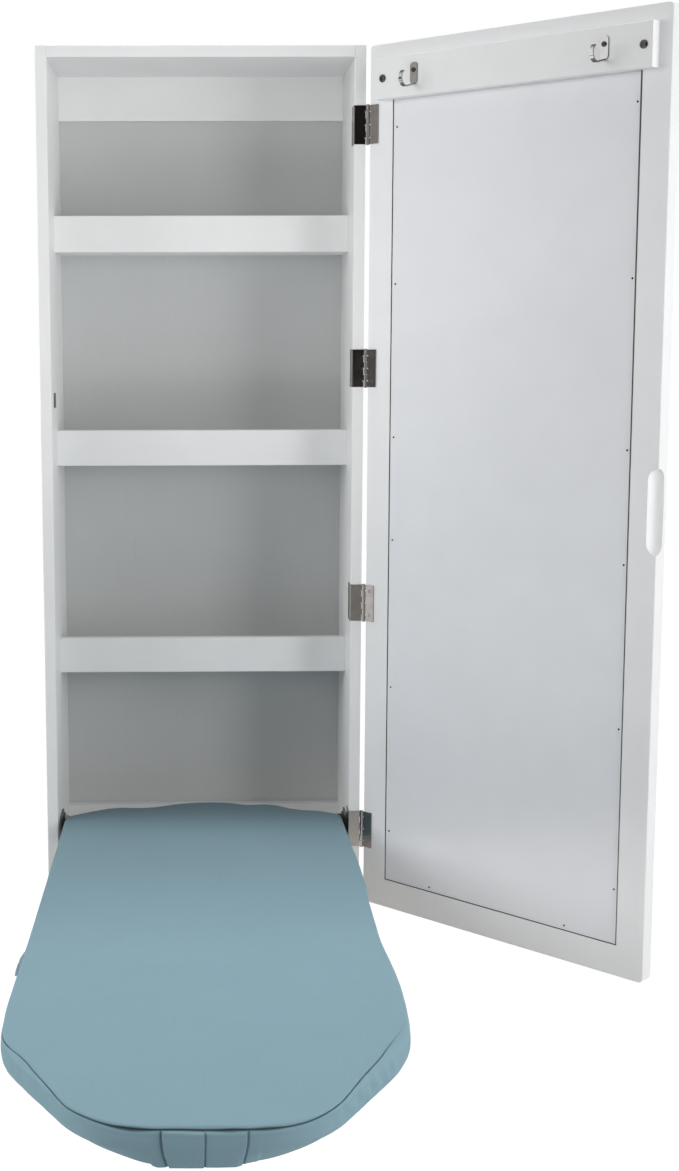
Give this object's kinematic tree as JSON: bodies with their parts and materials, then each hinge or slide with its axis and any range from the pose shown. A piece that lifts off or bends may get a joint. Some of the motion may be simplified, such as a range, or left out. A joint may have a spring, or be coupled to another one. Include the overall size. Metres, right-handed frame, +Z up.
{
  "type": "mirrored ironing board cabinet",
  "caption": "Wall-hung shallow white cabinet with shelves, a hinged mirror door with hooks inside, and a padded ironing board that folds down from its base.",
  "frame": {"origin": "midway between the two hanger holes, on the wall plane", "axes": "+X to the right seen from the front, +Y into the wall, +Z up"},
  "size_m": [0.6719, 0.9923, 1.021],
  "materials": {
    "white_board": "white painted fibreboard, satin",
    "grey_board": "pale grey coated hardboard, matt",
    "beech": "plain sanded wood",
    "mirror": "silvered glass",
    "nickel": "satin nickel plate",
    "dark_steel": "black finished steel",
    "nylon": "natural nylon",
    "cloth": "dusty blue woven cotton",
    "foam": "soft felt-faced foam",
    "grip": "black hook-and-loop patch"
  },
  "bodies": {
    "cabinet": {"side_left": "white_board", "side_right": "white_board", "top_panel": "white_board", "bottom_panel": "white_board", "back_panel": "grey_board", "top_rail": "white_board", "bottom_rail": "white_board", "shelf_1": "white_board", "shelf_2": "white_board", "shelf_3": "white_board", "lip_1": "white_board", "lip_2": "white_board", "lip_3": "white_board", "dowels": "beech", "back_pins": "nickel", "hanger_plates": "nickel", "hanger_screws": "nickel", "cabinet_leaf_1": "nickel", "cabinet_leaf_2": "nickel", "cabinet_leaf_3": "nickel", "cabinet_leaf_4": "nickel", "hinge_pins": "nickel", "cabinet_leaf_screws": "nickel", "pivot_plate_left": "dark_steel", "pivot_plate_right": "dark_steel", "pivot_studs": "dark_steel", "pivot_nuts": "dark_steel", "stop_studs": "dark_steel", "plate_screws": "nickel", "grip_patch": "grip"},
    "door": {"hinge_stile": "white_board", "pull_stile": "white_board", "door_top_rail": "white_board", "door_bottom_rail": "white_board", "mirror_glass": "mirror", "backing_panel": "white_board", "backing_nails": "dark_steel", "hook_rail": "white_board", "hook_rail_screws": "nickel", "hook_1": "nickel", "hook_2": "nickel", "hook_screws": "nickel", "door_leaf_1": "nickel", "door_leaf_2": "nickel", "door_leaf_3": "nickel", "door_leaf_4": "nickel", "door_leaf_screws": "nickel"},
    "board": {"ironing_deck": "beech", "foam_pad": "foam", "board_cover": "cloth", "hold_tab": "cloth", "pivot_arm_left": "dark_steel", "pivot_arm_right": "dark_steel", "arm_screws": "nickel", "pivot_bushes": "nylon"}
  },
  "joints": [
    {"name": "door_hinge", "type": "hinge", "parent": "cabinet", "child": "door", "pos_m": [0.19275, -0.1724, 0], "axis": [0, 0, 1], "range_deg": [-46, 44]},
    {"name": "board_fold", "type": "hinge", "parent": "cabinet", "child": "board", "pos_m": [0, -0.135, -0.8875], "axis": [-1, 0, 0], "range_deg": [0, 88.5]}
  ]
}
